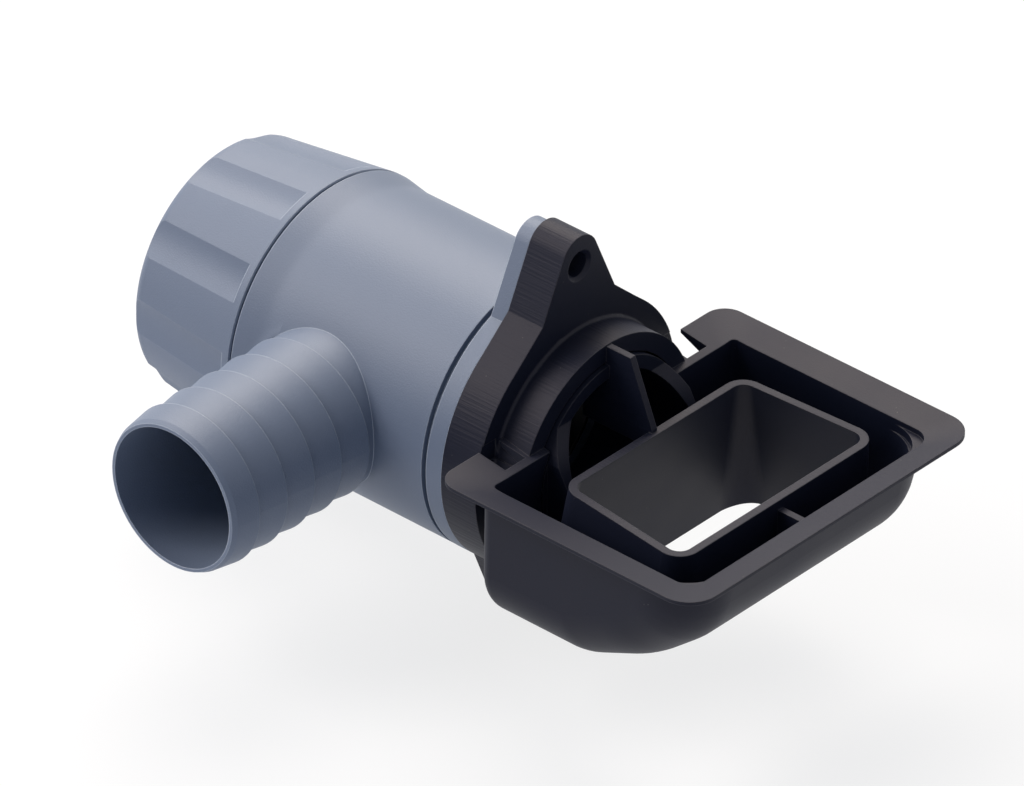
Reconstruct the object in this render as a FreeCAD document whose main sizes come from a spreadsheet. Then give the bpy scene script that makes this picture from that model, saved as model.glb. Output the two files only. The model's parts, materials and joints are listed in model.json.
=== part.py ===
import FreeCAD, Part
import math
import os
import Sketcher

# Rainwater diverter for a rectangular downpipe. The frame: the origin is the centre of the black
# plate's face that lies on the pipe, +X runs into the pipe, +Z is up and the hose tail points to -Y.

VALUES = {
    # black moulding: plate on the outside of the pipe
    "plate_thickness": 8.65,
    "plate_radius": 28.64,
    "ear_height": 39.8,
    "ear_tip_radius": 4.9,
    "ear_root_width": 12.56,
    "ear_root_height": 24.0,
    "shoulder_foot_width": 19.6,
    "shoulder_foot_height": 20.8,
    "shoulder_top_width": 9.0,
    "shoulder_top_height": 30.27,
    "screw_height": 38.2,
    "screw_hole_radius": 2.6,
    "screw_sink": 0.7,
    "lobe_centre_depth": 24.0,
    "lobe_radius": 16.5,
    "lobe_root_width": 19.6,
    "lobe_root_depth": 20.0,
    "lower_screw_depth": 34.2,
    # neck through the hole in the pipe, and the spout ring inside it
    "neck_radius": 24.2,
    "neck_bore_radius": 20.4,
    "neck_reach": 7.6,
    "neck_root_fillet": 0.7,
    "ring_radius": 20.0,
    "ring_bore_radius": 17.2,
    "ring_reach": 8.5,
    "ring_bare_height": 13.0,
    "cheek_sweep": 2.0,
    "cheek_sweep_drop": 3.3,
    "cheek_foot": 12.0,
    "cheek_half_width": 18.7,
    "cheek_flat_top": 9.3,
    # stiffening rib between the neck, the ring and the chimney
    "rib_thickness": 1.4,
    "rib_top": 23.9,
    "rib_reach": 13.6,
    "rib_foot": 6.0,
    "rib_back": 2.0,
    # tray inside the pipe
    "tray_rear": 7.4,
    "tray_length": 53.0,
    "tray_half_width": 36.2,
    "tray_top": 7.4,
    "tray_bottom": 21.5,
    "tray_wall": 1.8,
    "knee_run": 14.0,
    "far_run": 12.9,
    "knee_rise": 6.1,
    "far_lean": 2.5,
    "far_foot": 4.8,
    "far_foot_radius": 18.0,
    "knee_radius": 30.0,
    "floor_bend_radius": 14.0,
    "hull_corner_radius": 12.0,
    "hull_rear_radius": 3.0,
    # sealing lip round the tray
    "lip_rise": 3.2,
    "lip_root": 1.0,
    "lip_dish": 1.2,
    "lip_edge": 0.8,
    "lip_rear": 0.8,
    "lip_far": 64.4,
    "lip_half_width": 41.0,
    "lip_corner_radius": 4.5,
    "lip_far_corner_radius": 6.5,
    "lip_inner_radius": 4.0,
    "lip_corner_shelf": 0.8,
    "lip_gap_half_width": 28.7,
    # overflow chimney
    "chimney_rear": 18.5,
    "chimney_length": 32.1,
    "chimney_rear_half_width": 26.1,
    "chimney_far_half_width": 28.2,
    "chimney_top": 10.1,
    "chimney_tip_angle": 1.7,
    "chimney_wall": 1.7,
    "chimney_corner_radius": 4.4,
    "chimney_foot_radius": 8.0,
    "chimney_flare": 5.2,
    "chimney_rear_lean": 4.0,
    "web_thickness": 1.5,
    "web_top": 6.6,
    # grey housing
    "flange_thickness": 3.85,
    "flange_ear_height": 38.9,
    "flange_ear_tip_radius": 4.6,
    "flange_ear_root_width": 11.9,
    "groove_width": 1.2,
    "groove_floor_radius": 27.2,
    "body_radius": 28.6,
    "seam_radius": 29.5,
    "body_length": 49.5,
    "shoulder_length": 6.0,
    "bore_radius": 24.4,
    "throat_radius": 20.8,
    "collar_length": 8.0,
    "collar_radius": 25.7,
    "bead_radius": 26.15,
    "bead_length": 2.0,
    "edge_break": 0.3,
    # hose tail
    "tail_spacing": 29.2,
    "tail_reach": 67.3,
    "tail_bore_radius": 14.6,
    "tail_lip_radius": 15.3,
    "tail_nose_radius": 15.8,
    "tail_nose_length": 1.1,
    "tail_crest_radius": 16.6,
    "tail_valley_radius": 15.5,
    "tail_root_radius": 16.0,
    "barb_first": 6.9,
    "barb_pitch": 7.6,
    "barb_drop": 0.5,
    # control knob
    "seam_gap": 0.3,
    "knob_length": 28.3,
    "knob_slope": 0.12,
    "knob_end_radius": 2.8,
    "knob_end_wall": 2.6,
    "knob_cavity_radius": 23.0,
    "running_gap": 0.3,
    "flute_count": 10,
    "flute_depth": 1.0,
    "flute_radius": 11.0,
    "flute_start": 2.0,
    "knob_boss_radius": 12.0,
    "drive_flats": 16.0,
    "drive_length": 11.0,
    "drive_gap": 0.1,
    # valve drum and its seals
    "drum_bore_radius": 20.4,
    "drum_disc": 3.0,
    "port_radius": 14.3,
    "seal_cord_radius": 1.0,
    "seal_gap": 0.1,
    "seal_inset": 5.0,
}

doc = FreeCAD.newDocument("rainwater_diverter")
sheet = doc.addObject("Spreadsheet::Sheet", "sizes")
for row, (alias, number) in enumerate(VALUES.items(), start=1):
    sheet.set("A%d" % row, alias)
    sheet.set("B%d" % row, str(number))
    sheet.setAlias("B%d" % row, alias)
doc.recompute()


class Size:
    """A length with its number and the spreadsheet formula that it comes from."""

    def __init__(self, value, formula):
        self.value = float(value)
        self.formula = formula

    def __add__(self, other):
        other = as_size(other)
        return Size(self.value + other.value, "(%s + %s)" % (self.formula, other.formula))

    def __sub__(self, other):
        other = as_size(other)
        return Size(self.value - other.value, "(%s - %s)" % (self.formula, other.formula))

    def __mul__(self, other):
        other = as_size(other)
        return Size(self.value * other.value, "(%s * %s)" % (self.formula, other.formula))

    def __truediv__(self, other):
        other = as_size(other)
        return Size(self.value / other.value, "(%s / %s)" % (self.formula, other.formula))

    def __neg__(self):
        return Size(-self.value, "(0 - %s)" % self.formula)

    __radd__ = __add__

    def __rsub__(self, other):
        return as_size(other) - self


def as_size(number):
    if isinstance(number, Size):
        return number
    return Size(number, "%g" % number)


def size(alias):
    return Size(getattr(sheet, alias), "sizes.%s" % alias)


def leg(longest, other):
    """The other leg of a right-angled triangle."""
    return Size(math.sqrt(longest.value ** 2 - other.value ** 2),
                "sqrt(%s ^ 2 - %s ^ 2)" % (longest.formula, other.formula))


def bind(thing, prop, value):
    """Give a property its number now and its spreadsheet formula for later."""
    value = as_size(value)
    if "sizes." in value.formula:
        thing.setExpression(prop, value.formula)
    else:
        setattr(thing, prop, value.value)


def plane(body, role):
    for feature in body.Origin.OriginFeatures:
        if feature.Role == role:
            return feature
    raise RuntimeError("no %s in %s" % (role, body.Name))


def new_sketch(body, name, role, offset=None):
    """A sketch on one of the body's own origin planes, moved along that plane's normal."""
    made = body.newObject("Sketcher::SketchObject", name)
    made.AttachmentSupport = [(plane(body, role), "")]
    made.MapMode = "FlatFace"
    if offset is not None:
        bind_offset(made, offset)
    return made


def bind_offset(made, offset):
    offset = as_size(offset)
    made.AttachmentOffset = FreeCAD.Placement(
        FreeCAD.Vector(0, 0, offset.value), FreeCAD.Rotation(0, 0, 0))
    if "sizes." in offset.formula:
        made.setExpression("AttachmentOffset.Base.z", offset.formula)


def hold(made, geo, pos, x, y):
    """Fix one point of the sketch at (x, y)."""
    for kind, axis, value in (("DistanceX", -2, as_size(x)), ("DistanceY", -1, as_size(y))):
        if value.formula == "0":
            made.addConstraint(Sketcher.Constraint("PointOnObject", geo, pos, axis))
            continue
        index = made.addConstraint(Sketcher.Constraint(kind, -1, 1, geo, pos, value.value))
        if "sizes." in value.formula:
            made.setExpression("Constraints[%d]" % index, value.formula)


def set_radius(made, geo, radius):
    radius = as_size(radius)
    index = made.addConstraint(Sketcher.Constraint("Radius", geo, abs(radius.value)))
    if "sizes." in radius.formula:
        made.setExpression("Constraints[%d]" % index, radius.formula)


def circle(made, x, y, radius):
    x, y, radius = as_size(x), as_size(y), as_size(radius)
    centre = FreeCAD.Vector(x.value, y.value, 0)
    geo = made.addGeometry(Part.Circle(centre, FreeCAD.Vector(0, 0, 1), radius.value))
    hold(made, geo, 3, x, y)
    set_radius(made, geo, radius)


def arc_between(start, end, radius, turn):
    """The arc of at most half a turn from start to end; turn is 1 anticlockwise, -1 clockwise."""
    chord = end - start
    middle = (start + end) * 0.5
    height = math.sqrt(max(radius ** 2 - (chord.Length / 2) ** 2, 0.0))
    side = FreeCAD.Vector(-chord.y, chord.x, 0)
    side.normalize()
    centre = middle + side * height * turn
    first, last = (start, end) if turn > 0 else (end, start)
    angles = [math.atan2(p.y - centre.y, p.x - centre.x) for p in (first, last)]
    ring = Part.Circle(centre, FreeCAD.Vector(0, 0, 1), radius)
    return Part.ArcOfCircle(ring, angles[0], angles[1])


def outline(made, corners):
    """A closed outline. Each corner is (x, y), or (x, y, radius, turn) where an arc leaves it."""
    points = [(as_size(c[0]), as_size(c[1])) for c in corners]
    vectors = [FreeCAD.Vector(x.value, y.value, 0) for x, y in points]
    ends = []
    for number, corner in enumerate(corners):
        start = vectors[number]
        end = vectors[(number + 1) % len(corners)]
        if len(corner) == 2:
            geo = made.addGeometry(Part.LineSegment(start, end))
            ends.append((geo, 1, 2))
        else:
            radius, turn = as_size(corner[2]), corner[3]
            geo = made.addGeometry(arc_between(start, end, radius.value, turn))
            ends.append((geo, 1, 2) if turn > 0 else (geo, 2, 1))
    for number, (geo, first, last) in enumerate(ends):
        follower = ends[(number + 1) % len(ends)]
        made.addConstraint(Sketcher.Constraint("Coincident", geo, last, follower[0], follower[1]))
    for number, (geo, first, last) in enumerate(ends):
        hold(made, geo, first, *points[number])
        if len(corners[number]) == 4:
            set_radius(made, geo, corners[number][2])


def rounded_box(made, x_low, x_high, half_low, half_high, radius, rear_radius=None):
    """A rounded rectangle; its half width and its corner radius may differ at its two ends."""
    r = as_size(radius)
    s = r if rear_radius is None else as_size(rear_radius)
    x_low, x_high = as_size(x_low), as_size(x_high)
    low, high = as_size(half_low), as_size(half_high)
    outline(made, [
        (x_low + s, -low), (x_high - r, -high, r, 1),
        (x_high, r - high), (x_high, high - r, r, 1),
        (x_high - r, high), (x_low + s, low, s, 1),
        (x_low, low - s), (x_low, s - low, s, 1),
    ])


def ear(made, root_width, root_height, centre_height, tip_radius, upward=1):
    """A screw ear: two straight sides that run tangent into a round tip."""
    width, height = root_width.value, root_height.value * upward
    centre, radius = centre_height.value * upward, tip_radius.value
    reach = FreeCAD.Vector(width, height - centre, 0)
    lean = math.atan2(reach.y * upward, reach.x) + math.acos(radius / reach.Length)
    touch = FreeCAD.Vector(radius * math.cos(lean), centre + upward * radius * math.sin(lean), 0)
    other = FreeCAD.Vector(-touch.x, touch.y, 0)
    right, left = FreeCAD.Vector(width, height, 0), FreeCAD.Vector(-width, height, 0)
    base = made.addGeometry(Part.LineSegment(left, right))
    rising = made.addGeometry(Part.LineSegment(right, touch))
    ring = Part.Circle(FreeCAD.Vector(0, centre, 0), FreeCAD.Vector(0, 0, 1), radius)
    start, end = (touch, other) if upward > 0 else (other, touch)
    angles = [math.atan2(p.y - centre, p.x) for p in (start, end)]
    tip = made.addGeometry(Part.ArcOfCircle(ring, angles[0], angles[1]))
    falling = made.addGeometry(Part.LineSegment(other, left))
    near, far = (1, 2) if upward > 0 else (2, 1)
    made.addConstraint(Sketcher.Constraint("Coincident", base, 2, rising, 1))
    made.addConstraint(Sketcher.Constraint("Coincident", falling, 2, base, 1))
    made.addConstraint(Sketcher.Constraint("Tangent", rising, 2, tip, near))
    made.addConstraint(Sketcher.Constraint("Tangent", falling, 1, tip, far))
    hold(made, base, 1, -root_width, root_height * upward)
    hold(made, base, 2, root_width, root_height * upward)
    hold(made, tip, 3, 0, centre_height * upward)
    set_radius(made, tip, tip_radius)


def turned(body, kind, name, sketch, axis):
    feature = body.newObject("PartDesign::" + kind, name)
    feature.Profile = sketch
    feature.ReferenceAxis = (sketch, [axis])
    feature.Angle = 360
    return feature


def pad(body, name, sketch, length, midplane=False, kind="Pad", reverse=False):
    feature = body.newObject("PartDesign::" + kind, name)
    feature.Profile = sketch
    bind(feature, "Length", length)
    feature.Midplane = midplane
    feature.Reversed = reverse
    return feature


def loft(body, kind, name, first, last):
    feature = body.newObject("PartDesign::" + kind, name)
    feature.Profile = first
    feature.Sections = [last]
    feature.Ruled = True
    return feature


def cut_volume(before, feature):
    """Recompute and make sure that a cutting feature took something away."""
    doc.recompute()
    if not feature.Shape.Volume < before - 0.5:
        raise RuntimeError("%s cuts nothing" % feature.Name)
    return feature.Shape.Volume


def edge_names(shape, wanted):
    return ["Edge%d" % n for n, edge in enumerate(shape.Edges, start=1) if wanted(edge)]


def rounded(body, name, base, wanted, radius):
    doc.recompute()
    names = edge_names(base.Shape, wanted)
    feature = body.newObject("PartDesign::Fillet", name)
    feature.Base = (base, names)
    bind(feature, "Radius", radius)
    doc.recompute()
    return feature


def spans(edge):
    return edge.BoundBox


# Places that several pieces share, each counted back from the pipe face at x = 0.
flange_face = -size("plate_thickness")
flange_back = flange_face - size("flange_thickness")
seam = flange_back - size("body_length")
collar_end = seam - size("collar_length")
tail_axis = flange_back - size("tail_spacing")
knob_rim = seam - size("seam_gap")
knob_end = knob_rim - size("knob_length")
knob_floor = knob_end + size("knob_end_wall")
drum_front = flange_back - size("running_gap")
drum_radius = size("bore_radius") - size("running_gap")
drum_back = collar_end


# Black moulding. The tray's hull comes first: a side profile across the pipe, rounded and shelled.
collector = doc.addObject("PartDesign::Body", "pipe_collector")
collector.Label = "pipe_collector"

tray_far = size("tray_rear") + size("tray_length")
foot_x = tray_far - size("far_lean")
knee_x = foot_x - size("far_run")
knee_z = size("knee_rise") - size("tray_bottom")
bend = knee_x - size("knee_run")


def hull_solid(body):
    """The tray's outer form: a side profile across the pipe, with all its lower edges rounded."""
    profile = new_sketch(body, "hull_profile", "XZ_Plane")
    outline(profile, [
        (size("tray_rear"), size("tray_top")),
        (size("tray_rear"), -size("tray_bottom")),
        (bend, -size("tray_bottom")),
        (knee_x, knee_z),
        (foot_x, -size("far_foot")),
        (tray_far, size("tray_top")),
    ])
    made = pad(body, "hull", profile, size("tray_half_width") * 2, midplane=True)

    def crossing(x, z):
        return lambda e: (spans(e).YLength > 10 and abs(spans(e).Center.x - x.value) < 0.05
                          and abs(spans(e).Center.z - z.value) < 0.05)

    made = rounded(body, "hull_far_foot", made, crossing(foot_x, -size("far_foot")),
                   size("far_foot_radius"))
    made = rounded(body, "hull_knee", made, crossing(knee_x, knee_z), size("knee_radius"))
    made = rounded(body, "hull_bend", made, crossing(bend, -size("tray_bottom")),
                   size("floor_bend_radius"))
    half = size("tray_half_width").value
    rear = size("tray_rear").value
    rim = size("tray_top").value
    made = rounded(
        body, "hull_sides", made,
        lambda e: spans(e).YLength < 0.01 and abs(abs(spans(e).Center.y) - half) < 0.01
        and spans(e).XMax > rear + 0.01 and spans(e).ZMin < rim - 0.01,
        size("hull_corner_radius"))
    return rounded(
        body, "hull_rear", made,
        lambda e: spans(e).XMax < rear + 0.01 and spans(e).ZMin < rim - 0.01,
        size("hull_rear_radius"))


hull_rear = hull_solid(collector)

# The hull is hollowed from its open top.
top_face = max(
    range(len(hull_rear.Shape.Faces)),
    key=lambda n: hull_rear.Shape.Faces[n].BoundBox.ZMin)
shell = collector.newObject("PartDesign::Thickness", "hull_shell")
shell.Base = (hull_rear, ["Face%d" % (top_face + 1)])
bind(shell, "Value", size("tray_wall"))
shell.Reversed = True
volume = cut_volume(hull_rear.Shape.Volume, shell)

# The sealing lip: it flares out and up from the hull to a thin edge, and its upper face is dished.
tray_inner_rear = size("tray_rear") + size("tray_wall")
tray_inner_far = tray_far - size("tray_wall")
tray_inner_half = size("tray_half_width") - size("tray_wall")
lip_top = size("tray_top") + size("lip_rise")
lip_foot = size("tray_top") - size("lip_root")
mid_wall = size("tray_wall") * 0.5
lip_low = new_sketch(collector, "lip_low", "XY_Plane", lip_foot)
rounded_box(lip_low, size("tray_rear") + mid_wall, tray_far - mid_wall,
            size("tray_half_width") - mid_wall, size("tray_half_width") - mid_wall,
            size("hull_corner_radius") - mid_wall, size("hull_rear_radius") - mid_wall)
lip_high = new_sketch(collector, "lip_high", "XY_Plane", lip_top - size("lip_edge"))
rounded_box(lip_high, size("lip_rear"), size("lip_far"), size("lip_half_width"),
            size("lip_half_width"), size("lip_far_corner_radius"), size("lip_corner_radius"))
flare = loft(collector, "AdditiveLoft", "lip_flare", lip_low, lip_high)
doc.recompute()
edge = pad(collector, "lip_edge_band", lip_high, size("lip_edge"))
doc.recompute()
dish_low = new_sketch(collector, "dish_low", "XY_Plane", lip_top - size("lip_dish"))
rounded_box(dish_low, tray_inner_rear, tray_inner_far, tray_inner_half, tray_inner_half,
            size("lip_inner_radius"))
dish_high = new_sketch(collector, "dish_high", "XY_Plane", lip_top)
rounded_box(dish_high, size("lip_rear"), size("lip_far"), size("lip_half_width"),
            size("lip_half_width"), size("lip_far_corner_radius"), size("lip_corner_radius"))
volume = edge.Shape.Volume
dish = loft(collector, "SubtractiveLoft", "lip_dish", dish_low, dish_high)
volume = cut_volume(volume, dish)

shelf = new_sketch(collector, "lip_shelf", "XY_Plane", lip_top - size("lip_dish"))
rounded_box(shelf, tray_inner_rear, tray_inner_far, tray_inner_half, tray_inner_half,
            size("lip_inner_radius"))
shelf_depth = size("lip_rise") - size("lip_dish") - size("lip_corner_shelf")
shelf_cut = pad(collector, "lip_shelf_cut", shelf, shelf_depth, kind="Pocket")
volume = cut_volume(volume, shelf_cut)
mouth = new_sketch(collector, "tray_mouth", "XY_Plane", lip_top)
rounded_box(mouth, tray_inner_rear, tray_inner_far, tray_inner_half, tray_inner_half,
            size("hull_corner_radius") - size("tray_wall") - size("lip_root"),
            size("hull_rear_radius") - size("tray_wall"))
opening = pad(collector, "tray_mouth_cut", mouth, lip_top - lip_foot, kind="Pocket")
volume = cut_volume(volume, opening)

# Plate and neck.
neck_disc = new_sketch(collector, "neck_disc", "YZ_Plane", flange_face)
circle(neck_disc, 0, 0, size("neck_radius"))
neck = pad(collector, "neck", neck_disc, size("neck_reach") + size("plate_thickness"))
plate_disc = new_sketch(collector, "plate_disc", "YZ_Plane", flange_face)
circle(plate_disc, 0, 0, size("plate_radius"))
plate = pad(collector, "plate", plate_disc, size("plate_thickness"))
neck_radius = size("neck_radius").value
neck_root = rounded(
    collector, "neck_root", plate,
    lambda e: abs(spans(e).XMin) < 0.01 and abs(spans(e).XMax) < 0.01
    and abs(e.Length - 2 * math.pi * neck_radius) < 0.01,
    size("neck_root_fillet"))
top_ear = new_sketch(collector, "plate_ear", "YZ_Plane", flange_face)
ear(top_ear, size("ear_root_width"), size("ear_root_height"), size("ear_height"),
    size("ear_tip_radius"))
pad(collector, "plate_ear_pad", top_ear, size("plate_thickness"))
shoulders = new_sketch(collector, "plate_shoulders", "YZ_Plane", flange_face)
outline(shoulders, [
    (-size("shoulder_foot_width"), size("shoulder_foot_height")),
    (size("shoulder_foot_width"), size("shoulder_foot_height")),
    (size("shoulder_top_width"), size("shoulder_top_height")),
    (-size("shoulder_top_width"), size("shoulder_top_height")),
])
pad(collector, "plate_shoulders_pad", shoulders, size("plate_thickness"))
lobe = new_sketch(collector, "plate_lobe", "YZ_Plane", flange_face)
ear(lobe, size("lobe_root_width"), size("lobe_root_depth"), size("lobe_centre_depth"),
    size("lobe_radius"), upward=-1)
lobe_pad = pad(collector, "plate_lobe_pad", lobe, size("plate_thickness"))
doc.recompute()

# The neck is hollow down to the plate and opens through the tray's rear wall.
neck_hole = new_sketch(collector, "neck_hole", "YZ_Plane", tray_inner_rear + 0.5)
circle(neck_hole, 0, 0, size("neck_bore_radius"))
neck_bore = pad(collector, "neck_bore", neck_hole, tray_inner_rear + 0.5, kind="Pocket")
volume = cut_volume(lobe_pad.Shape.Volume, neck_bore)

# Spout ring. Its two cheeks sweep forward to the chimney and leave the drain open below.
ring_disc = new_sketch(collector, "ring_disc", "YZ_Plane", flange_face)
circle(ring_disc, 0, 0, size("ring_radius"))
circle(ring_disc, 0, 0, size("ring_bore_radius"))
cheek_end = size("chimney_rear") + size("chimney_wall") * 0.5
ring = pad(collector, "spout_ring", ring_disc, cheek_end + size("plate_thickness"))
doc.recompute()
volume = ring.Shape.Volume
sweep = new_sketch(collector, "cheek_sweep", "XZ_Plane")
outline(sweep, [
    (size("ring_reach"), size("ring_radius") + 1),
    (size("ring_reach"), size("ring_bare_height")),
    (size("ring_reach") + size("cheek_sweep"), size("ring_bare_height") - size("cheek_sweep_drop")),
    (cheek_end, -size("cheek_foot") * 0.5),
    (cheek_end + 1, -size("cheek_foot") * 0.5),
    (cheek_end + 1, size("ring_radius") + 1),
])
sweep_cut = pad(collector, "cheek_sweep_cut", sweep, size("neck_bore_radius") * 2, midplane=True,
                kind="Pocket")
volume = cut_volume(volume, sweep_cut)
flats = new_sketch(collector, "cheek_flats", "YZ_Plane", cheek_end + 1)
for side in (1, -1):
    outline(flats, [
        (size("cheek_half_width") * side, -size("ring_radius")),
        ((size("ring_radius") + 1) * side, -size("ring_radius")),
        ((size("ring_radius") + 1) * side, size("cheek_flat_top")),
        (size("cheek_half_width") * side, size("cheek_flat_top")),
    ])
flats_cut = pad(collector, "cheek_flats_cut", flats, cheek_end + 1 - tray_inner_rear,
                kind="Pocket")
volume = cut_volume(volume, flats_cut)
drain = new_sketch(collector, "drain", "XZ_Plane")
outline(drain, [
    (tray_inner_rear, -size("cheek_foot")),
    (tray_inner_rear, size("tray_wall") - size("tray_bottom")),
    (cheek_end + 1, size("tray_wall") - size("tray_bottom")),
    (cheek_end + 1, -size("cheek_foot")),
])
drain_cut = pad(collector, "drain_cut", drain, size("neck_bore_radius") * 2, midplane=True,
                kind="Pocket")
volume = cut_volume(volume, drain_cut)
plate_hole = new_sketch(collector, "plate_hole", "YZ_Plane")
circle(plate_hole, 0, 0, size("ring_bore_radius"))
plate_bore = pad(collector, "plate_bore", plate_hole, size("plate_thickness"), kind="Pocket")
volume = cut_volume(volume, plate_bore)

# The overflow chimney flares downwards and opens through the tray's underside.
tilt = FreeCAD.Rotation(FreeCAD.Vector(0, 1, 0), size("chimney_tip_angle").value)
chimney_far = size("chimney_rear") + size("chimney_length")


def chimney_section(body, name, low, inset):
    """One end of the chimney: its lower end is wider, its upper end is tipped."""
    if low:
        made = new_sketch(body, name, "XY_Plane", -size("tray_bottom"))
        rear = size("chimney_rear") - size("chimney_rear_lean")
        radius = size("chimney_foot_radius")
        widths = size("chimney_rear_half_width") + size("chimney_flare"), (
            size("chimney_far_half_width") + size("chimney_flare") * 0.5)
    else:
        made = new_sketch(body, name, "XY_Plane", size("chimney_top"))
        place = made.AttachmentOffset
        place.Rotation = tilt
        made.AttachmentOffset = place
        rear = size("chimney_rear")
        radius = size("chimney_corner_radius")
        widths = size("chimney_rear_half_width"), size("chimney_far_half_width")
    rounded_box(made, rear + inset, chimney_far - inset, widths[0] - inset, widths[1] - inset,
                radius - inset)
    return made


outer_low = chimney_section(collector, "chimney_low", True, as_size(0))
outer_high = chimney_section(collector, "chimney_high", False, as_size(0))
chimney = loft(collector, "AdditiveLoft", "chimney", outer_low, outer_high)
web_profile = new_sketch(collector, "web_profile", "XZ_Plane")
outline(web_profile, [
    (chimney_far - size("chimney_wall"), size("web_top")),
    (chimney_far - size("chimney_wall"), -size("tray_bottom")),
    (tray_far, -size("tray_bottom")),
    (tray_far, size("web_top")),
])
web = pad(collector, "chimney_web", web_profile, size("web_thickness"), midplane=True)
doc.recompute()

# What reaches below the hull is trimmed to the hull's own form.
envelope = doc.addObject("PartDesign::Body", "tray_envelope")
hull_solid(envelope)
around = size("lip_half_width") * 2
above = new_sketch(envelope, "above_rim", "XY_Plane", lip_foot)
outline(above, [
    (tray_inner_rear, -around), (size("lip_far") * 2, -around),
    (size("lip_far") * 2, around), (tray_inner_rear, around),
])
pad(envelope, "above_rim_block", above, size("tray_bottom"))
behind = new_sketch(envelope, "behind_tray", "XY_Plane", -around)
outline(behind, [
    (-around, -around), (tray_inner_rear, -around), (tray_inner_rear, around), (-around, around),
])
pad(envelope, "behind_tray_block", behind, around * 2)
doc.recompute()
trim = collector.newObject("PartDesign::Boolean", "hull_trim")
trim.Type = "Common"
trim.Group = [envelope]
doc.recompute()

# The chimney's inside.
inner_low = chimney_section(collector, "chimney_inner_low", True, size("chimney_wall"))
inner_high = chimney_section(collector, "chimney_inner_high", False, size("chimney_wall"))
hollow = loft(collector, "SubtractiveLoft", "chimney_hollow", inner_low, inner_high)
volume = cut_volume(trim.Shape.Volume, hollow)

# The lip stops short of the neck, which passes the pipe's wall between its two ends.
gap = new_sketch(collector, "lip_gap", "XY_Plane", lip_top)
beside_neck = leg(size("neck_radius"), size("tray_top"))
for side in (1, -1):
    outline(gap, [
        (size("lip_rear") - 1, beside_neck * side),
        (size("tray_rear"), beside_neck * side),
        (size("tray_rear"), size("lip_gap_half_width") * side),
        (size("lip_rear") - 1, size("lip_gap_half_width") * side),
    ])
gap_cut = pad(collector, "lip_gap_cut", gap, lip_top - lip_foot, kind="Pocket")
volume = cut_volume(volume, gap_cut)

# Stiffening rib in the middle plane, from the neck through the ring to the chimney.
rib_profile = new_sketch(collector, "rib_profile", "XZ_Plane")
outline(rib_profile, [
    (size("rib_back"), size("rib_foot")),
    (cheek_end, size("rib_foot")),
    (cheek_end, size("chimney_top")),
    (size("rib_reach"), size("rib_top")),
    (size("rib_back"), size("rib_top")),
])
rib = pad(collector, "rib", rib_profile, size("rib_thickness"), midplane=True)
doc.recompute()

# Two screw holes with a sunk edge on the pipe side.
holes = new_sketch(collector, "screw_holes", "YZ_Plane")
circle(holes, 0, size("screw_height"), size("screw_hole_radius"))
circle(holes, 0, -size("lower_screw_depth"), size("screw_hole_radius"))
holes_cut = pad(collector, "screw_holes_cut", holes, size("plate_thickness"), kind="Pocket")
volume = cut_volume(rib.Shape.Volume, holes_cut)
hole_radius = size("screw_hole_radius").value
sunk = collector.newObject("PartDesign::Chamfer", "screw_sinks")
sunk.Base = (holes_cut, edge_names(
    holes_cut.Shape,
    lambda e: abs(spans(e).XMin) < 0.01 and abs(spans(e).XMax) < 0.01
    and abs(e.Length - 2 * math.pi * hole_radius) < 0.01))
bind(sunk, "Size", size("screw_sink"))
volume = cut_volume(volume, sunk)


# Grey housing: a turned body with a seam collar, the hose tail and two screw ears.
housing = doc.addObject("PartDesign::Body", "housing")
housing.Label = "housing"
groove_end = flange_back - size("groove_width")
break_edge = size("edge_break")
body_profile = new_sketch(housing, "body_profile", "XZ_Plane")
outline(body_profile, [
    (collar_end, as_size(0)),
    (flange_face, as_size(0)),
    (flange_face, size("plate_radius")),
    (flange_back, size("plate_radius")),
    (flange_back, size("groove_floor_radius")),
    (groove_end, size("groove_floor_radius")),
    (groove_end, size("body_radius")),
    (seam + size("shoulder_length"), size("body_radius")),
    (seam + break_edge, size("seam_radius")),
    (seam, size("seam_radius") - break_edge),
    (seam, size("collar_radius")),
    (collar_end + size("bead_length"), size("collar_radius")),
    (collar_end + size("bead_length"), size("bead_radius")),
    (collar_end, size("bead_radius") - break_edge),
])
body_solid = turned(housing, "Revolution", "body_solid", body_profile, "H_Axis")

# The hose tail's barbs rise from the mouth side and drop towards the body.
tail_profile = new_sketch(housing, "tail_profile", "XY_Plane")
mouth_y = -size("tail_reach")
barbs = [(tail_axis, as_size(0)), (tail_axis, mouth_y),
         (tail_axis + size("tail_lip_radius"), mouth_y),
         (tail_axis + size("tail_nose_radius"), mouth_y + size("tail_nose_length"))]
crest_y = mouth_y + size("barb_first")
for number in range(5):
    barbs.append((tail_axis + size("tail_crest_radius"), crest_y - size("barb_drop")))
    low = size("tail_valley_radius") if number < 4 else size("tail_root_radius")
    barbs.append((tail_axis + low, crest_y))
    crest_y = crest_y + size("barb_pitch")
barbs.append((tail_axis + size("tail_root_radius"), as_size(0)))
outline(tail_profile, barbs)
axis_line = tail_profile.addGeometry(Part.LineSegment(
    FreeCAD.Vector(tail_axis.value, 1, 0), FreeCAD.Vector(tail_axis.value, 10, 0)), True)
hold(tail_profile, axis_line, 1, tail_axis, 1)
hold(tail_profile, axis_line, 2, tail_axis, 10)
tail_solid = turned(housing, "Revolution", "tail_solid", tail_profile, "Axis0")

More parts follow.
